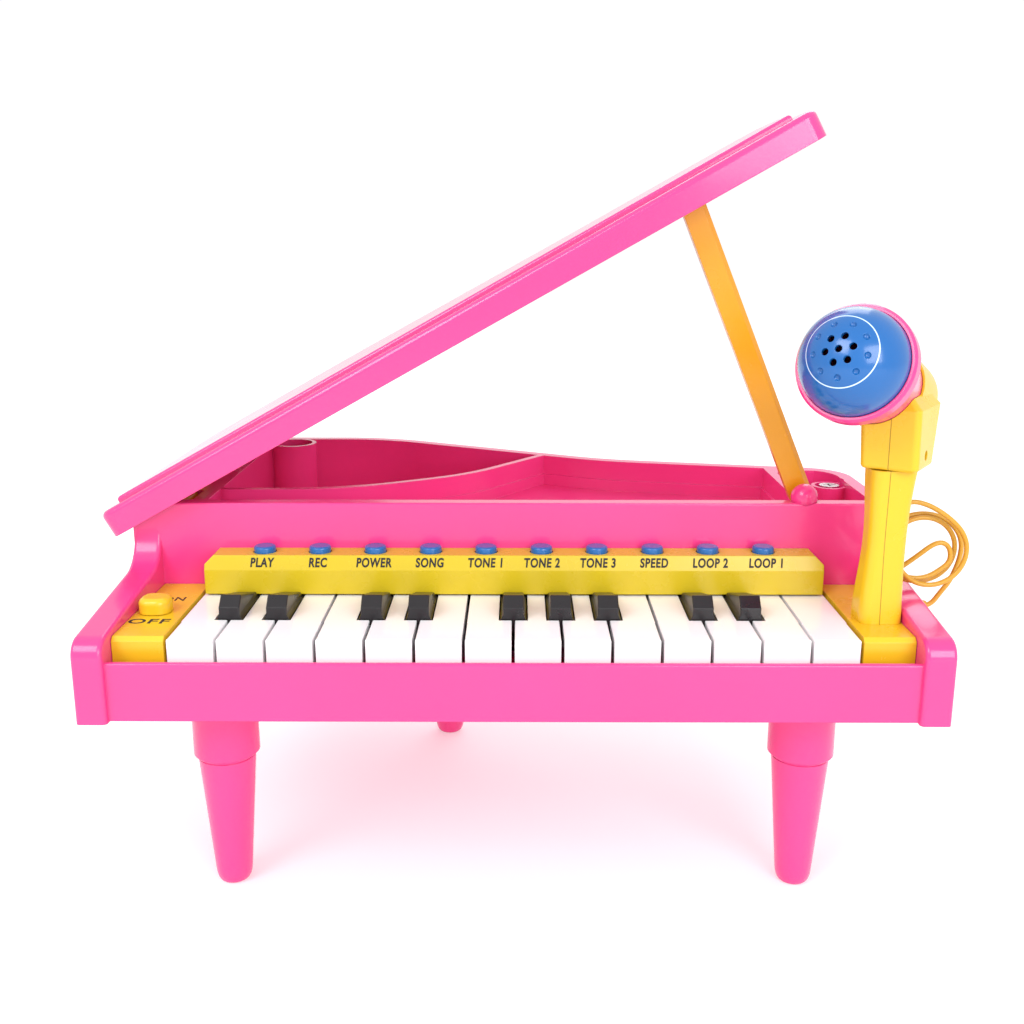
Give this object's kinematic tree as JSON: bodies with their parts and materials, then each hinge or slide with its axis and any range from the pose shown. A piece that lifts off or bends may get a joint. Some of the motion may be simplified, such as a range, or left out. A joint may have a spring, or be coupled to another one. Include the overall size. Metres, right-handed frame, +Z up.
{
  "type": "toy electronic keyboard",
  "caption": "Toy electronic keyboard shaped like a small grand piano, with a propped lid, pressable keys and buttons, tapered legs and a microphone on a post.",
  "frame": {"origin": "bottom centre of the toy's box, its cord left out, on the floor between the legs", "axes": "+X to the player's right, +Y away from the player, +Z up"},
  "size_m": [0.4276, 0.3032, 0.3707],
  "materials": {
    "pink_case": "injection-moulded, glossy",
    "pink_lid": "injection-moulded, glossy",
    "yellow_trim": "injection-moulded, satin gloss",
    "yellow_panel": "injection-moulded, printed labels",
    "orange_prop": "injection-moulded, glossy",
    "blue_plastic": "injection-moulded, glossy",
    "white_keys": "injection-moulded, glossy",
    "black_keys": "injection-moulded, satin",
    "yellow_cord": "soft vinyl sleeve",
    "steel": "plated",
    "grey_rubber": "moulded",
    "green_board": "board with solder mask",
    "black_speaker": "paper cone and steel magnet",
    "battery_wrap": "printed wrap"
  },
  "bodies": {
    "root": {"upper_case": "pink_case", "bottom_cover": "pink_case", "leg_sockets": "pink_case", "legs": "pink_case", "hinge_case_leaves": "yellow_trim", "prop_pivot": "pink_case", "control_panel": "yellow_panel", "end_blocks": "yellow_trim", "key_pivot_rod": "steel", "key_contact_strip": "grey_rubber", "circuit_board": "green_board", "speaker": "black_speaker", "batteries": "battery_wrap", "mic_post": "yellow_trim", "cord_grommet": "yellow_cord", "cord_lead_lower": "yellow_cord", "cord_coil": "yellow_cord", "cord_lead_upper": "yellow_cord", "screws": "steel"},
    "lid": {"lid": "pink_lid", "hinge_lid_leaves": "yellow_trim"},
    "prop": {"lid_prop": "orange_prop"},
    "mic_head": {"mic_holder": "yellow_trim", "mic_body": "pink_case", "mic_grille": "blue_plastic"},
    "power_switch": {"power_switch_knob": "yellow_trim"},
    "battery_door": {"battery_door": "pink_case"},
    "white_key_01": {"white_key_01": "white_keys"},
    "white_key_02": {"white_key_02": "white_keys"},
    "white_key_03": {"white_key_03": "white_keys"},
    "white_key_04": {"white_key_04": "white_keys"},
    "white_key_05": {"white_key_05": "white_keys"},
    "white_key_06": {"white_key_06": "white_keys"},
    "white_key_07": {"white_key_07": "white_keys"},
    "white_key_08": {"white_key_08": "white_keys"},
    "white_key_09": {"white_key_09": "white_keys"},
    "white_key_10": {"white_key_10": "white_keys"},
    "white_key_11": {"white_key_11": "white_keys"},
    "white_key_12": {"white_key_12": "white_keys"},
    "white_key_13": {"white_key_13": "white_keys"},
    "white_key_14": {"white_key_14": "white_keys"},
    "black_key_01": {"black_key_01": "black_keys"},
    "black_key_02": {"black_key_02": "black_keys"},
    "black_key_03": {"black_key_03": "black_keys"},
    "black_key_04": {"black_key_04": "black_keys"},
    "black_key_05": {"black_key_05": "black_keys"},
    "black_key_06": {"black_key_06": "black_keys"},
    "black_key_07": {"black_key_07": "black_keys"},
    "black_key_08": {"black_key_08": "black_keys"},
    "black_key_09": {"black_key_09": "black_keys"},
    "button_01": {"button_01": "blue_plastic"},
    "button_02": {"button_02": "blue_plastic"},
    "button_03": {"button_03": "blue_plastic"},
    "button_04": {"button_04": "blue_plastic"},
    "button_05": {"button_05": "blue_plastic"},
    "button_06": {"button_06": "blue_plastic"},
    "button_07": {"button_07": "blue_plastic"},
    "button_08": {"button_08": "blue_plastic"},
    "button_09": {"button_09": "blue_plastic"},
    "button_10": {"button_10": "blue_plastic"}
  },
  "joints": [
    {"name": "lid_hinge", "type": "hinge", "parent": "root", "child": "lid", "pos_m": [-0.18652, 0.05643, 0.165], "axis": [0, -1, 0], "range_deg": [0, 46]},
    {"name": "prop_fold", "type": "hinge", "parent": "root", "child": "prop", "pos_m": [0.15248, -0.03717, 0.1836], "axis": [0, -1, 0], "range_deg": [0, 65]},
    {"name": "mic_swivel", "type": "hinge", "parent": "root", "child": "mic_head", "pos_m": [0.17548, -0.10317, 0.2108], "axis": [0, 0, 1], "range_deg": [-30, 30]},
    {"name": "power_switch_slide", "type": "slide", "parent": "root", "child": "power_switch", "axis": [0, 1, 0], "range_m": [0, 0.0044]},
    {"name": "battery_door_drop", "type": "slide", "parent": "root", "child": "battery_door", "axis": [0, 0, -1], "range_m": [0, 0.03]},
    {"name": "white_key_01_press", "type": "hinge", "parent": "root", "child": "white_key_01", "pos_m": [0.00348, -0.03357, 0.13], "axis": [1, 0, 0], "range_deg": [0, 2.4], "stiffness_Nm_per_rad": 0.5, "springref_deg": -3.44},
    {"name": "white_key_02_press", "type": "hinge", "parent": "root", "child": "white_key_02", "pos_m": [0.00348, -0.03357, 0.13], "axis": [1, 0, 0], "range_deg": [0, 2.4], "stiffness_Nm_per_rad": 0.5, "springref_deg": -3.44},
    {"name": "white_key_03_press", "type": "hinge", "parent": "root", "child": "white_key_03", "pos_m": [0.00348, -0.03357, 0.13], "axis": [1, 0, 0], "range_deg": [0, 2.4], "stiffness_Nm_per_rad": 0.5, "springref_deg": -3.44},
    {"name": "white_key_04_press", "type": "hinge", "parent": "root", "child": "white_key_04", "pos_m": [0.00348, -0.03357, 0.13], "axis": [1, 0, 0], "range_deg": [0, 2.4], "stiffness_Nm_per_rad": 0.5, "springref_deg": -3.44},
    {"name": "white_key_05_press", "type": "hinge", "parent": "root", "child": "white_key_05", "pos_m": [0.00348, -0.03357, 0.13], "axis": [1, 0, 0], "range_deg": [0, 2.4], "stiffness_Nm_per_rad": 0.5, "springref_deg": -3.44},
    {"name": "white_key_06_press", "type": "hinge", "parent": "root", "child": "white_key_06", "pos_m": [0.00348, -0.03357, 0.13], "axis": [1, 0, 0], "range_deg": [0, 2.4], "stiffness_Nm_per_rad": 0.5, "springref_deg": -3.44},
    {"name": "white_key_07_press", "type": "hinge", "parent": "root", "child": "white_key_07", "pos_m": [0.00348, -0.03357, 0.13], "axis": [1, 0, 0], "range_deg": [0, 2.4], "stiffness_Nm_per_rad": 0.5, "springref_deg": -3.44},
    {"name": "white_key_08_press", "type": "hinge", "parent": "root", "child": "white_key_08", "pos_m": [0.00348, -0.03357, 0.13], "axis": [1, 0, 0], "range_deg": [0, 2.4], "stiffness_Nm_per_rad": 0.5, "springref_deg": -3.44},
    {"name": "white_key_09_press", "type": "hinge", "parent": "root", "child": "white_key_09", "pos_m": [0.00348, -0.03357, 0.13], "axis": [1, 0, 0], "range_deg": [0, 2.4], "stiffness_Nm_per_rad": 0.5, "springref_deg": -3.44},
    {"name": "white_key_10_press", "type": "hinge", "parent": "root", "child": "white_key_10", "pos_m": [0.00348, -0.03357, 0.13], "axis": [1, 0, 0], "range_deg": [0, 2.4], "stiffness_Nm_per_rad": 0.5, "springref_deg": -3.44},
    {"name": "white_key_11_press", "type": "hinge", "parent": "root", "child": "white_key_11", "pos_m": [0.00348, -0.03357, 0.13], "axis": [1, 0, 0], "range_deg": [0, 2.4], "stiffness_Nm_per_rad": 0.5, "springref_deg": -3.44},
    {"name": "white_key_12_press", "type": "hinge", "parent": "root", "child": "white_key_12", "pos_m": [0.00348, -0.03357, 0.13], "axis": [1, 0, 0], "range_deg": [0, 2.4], "stiffness_Nm_per_rad": 0.5, "springref_deg": -3.44},
    {"name": "white_key_13_press", "type": "hinge", "parent": "root", "child": "white_key_13", "pos_m": [0.00348, -0.03357, 0.13], "axis": [1, 0, 0], "range_deg": [0, 2.4], "stiffness_Nm_per_rad": 0.5, "springref_deg": -3.44},
    {"name": "white_key_14_press", "type": "hinge", "parent": "root", "child": "white_key_14", "pos_m": [0.00348, -0.03357, 0.13], "axis": [1, 0, 0], "range_deg": [0, 2.4], "stiffness_Nm_per_rad": 0.5, "springref_deg": -3.44},
    {"name": "black_key_01_press", "type": "hinge", "parent": "root", "child": "black_key_01", "pos_m": [0.00348, -0.03357, 0.13], "axis": [1, 0, 0], "range_deg": [0, 2.4], "stiffness_Nm_per_rad": 0.5, "springref_deg": -3.44},
    {"name": "black_key_02_press", "type": "hinge", "parent": "root", "child": "black_key_02", "pos_m": [0.00348, -0.03357, 0.13], "axis": [1, 0, 0], "range_deg": [0, 2.4], "stiffness_Nm_per_rad": 0.5, "springref_deg": -3.44},
    {"name": "black_key_03_press", "type": "hinge", "parent": "root", "child": "black_key_03", "pos_m": [0.00348, -0.03357, 0.13], "axis": [1, 0, 0], "range_deg": [0, 2.4], "stiffness_Nm_per_rad": 0.5, "springref_deg": -3.44},
    {"name": "black_key_04_press", "type": "hinge", "parent": "root", "child": "black_key_04", "pos_m": [0.00348, -0.03357, 0.13], "axis": [1, 0, 0], "range_deg": [0, 2.4], "stiffness_Nm_per_rad": 0.5, "springref_deg": -3.44},
    {"name": "black_key_05_press", "type": "hinge", "parent": "root", "child": "black_key_05", "pos_m": [0.00348, -0.03357, 0.13], "axis": [1, 0, 0], "range_deg": [0, 2.4], "stiffness_Nm_per_rad": 0.5, "springref_deg": -3.44},
    {"name": "black_key_06_press", "type": "hinge", "parent": "root", "child": "black_key_06", "pos_m": [0.00348, -0.03357, 0.13], "axis": [1, 0, 0], "range_deg": [0, 2.4], "stiffness_Nm_per_rad": 0.5, "springref_deg": -3.44},
    {"name": "black_key_07_press", "type": "hinge", "parent": "root", "child": "black_key_07", "pos_m": [0.00348, -0.03357, 0.13], "axis": [1, 0, 0], "range_deg": [0, 2.4], "stiffness_Nm_per_rad": 0.5, "springref_deg": -3.44},
    {"name": "black_key_08_press", "type": "hinge", "parent": "root", "child": "black_key_08", "pos_m": [0.00348, -0.03357, 0.13], "axis": [1, 0, 0], "range_deg": [0, 2.4], "stiffness_Nm_per_rad": 0.5, "springref_deg": -3.44},
    {"name": "black_key_09_press", "type": "hinge", "parent": "root", "child": "black_key_09", "pos_m": [0.00348, -0.03357, 0.13], "axis": [1, 0, 0], "range_deg": [0, 2.4], "stiffness_Nm_per_rad": 0.5, "springref_deg": -3.44},
    {"name": "button_01_press", "type": "slide", "parent": "root", "child": "button_01", "axis": [0, 0, -1], "range_m": [0, 0.0013], "stiffness_N_per_m": 300, "springref_m": -0.001},
    {"name": "button_02_press", "type": "slide", "parent": "root", "child": "button_02", "axis": [0, 0, -1], "range_m": [0, 0.0013], "stiffness_N_per_m": 300, "springref_m": -0.001},
    {"name": "button_03_press", "type": "slide", "parent": "root", "child": "button_03", "axis": [0, 0, -1], "range_m": [0, 0.0013], "stiffness_N_per_m": 300, "springref_m": -0.001},
    {"name": "button_04_press", "type": "slide", "parent": "root", "child": "button_04", "axis": [0, 0, -1], "range_m": [0, 0.0013], "stiffness_N_per_m": 300, "springref_m": -0.001},
    {"name": "button_05_press", "type": "slide", "parent": "root", "child": "button_05", "axis": [0, 0, -1], "range_m": [0, 0.0013], "stiffness_N_per_m": 300, "springref_m": -0.001},
    {"name": "button_06_press", "type": "slide", "parent": "root", "child": "button_06", "axis": [0, 0, -1], "range_m": [0, 0.0013], "stiffness_N_per_m": 300, "springref_m": -0.001},
    {"name": "button_07_press", "type": "slide", "parent": "root", "child": "button_07", "axis": [0, 0, -1], "range_m": [0, 0.0013], "stiffness_N_per_m": 300, "springref_m": -0.001},
    {"name": "button_08_press", "type": "slide", "parent": "root", "child": "button_08", "axis": [0, 0, -1], "range_m": [0, 0.0013], "stiffness_N_per_m": 300, "springref_m": -0.001},
    {"name": "button_09_press", "type": "slide", "parent": "root", "child": "button_09", "axis": [0, 0, -1], "range_m": [0, 0.0013], "stiffness_N_per_m": 300, "springref_m": -0.001},
    {"name": "button_10_press", "type": "slide", "parent": "root", "child": "button_10", "axis": [0, 0, -1], "range_m": [0, 0.0013], "stiffness_N_per_m": 300, "springref_m": -0.001}
  ]
}
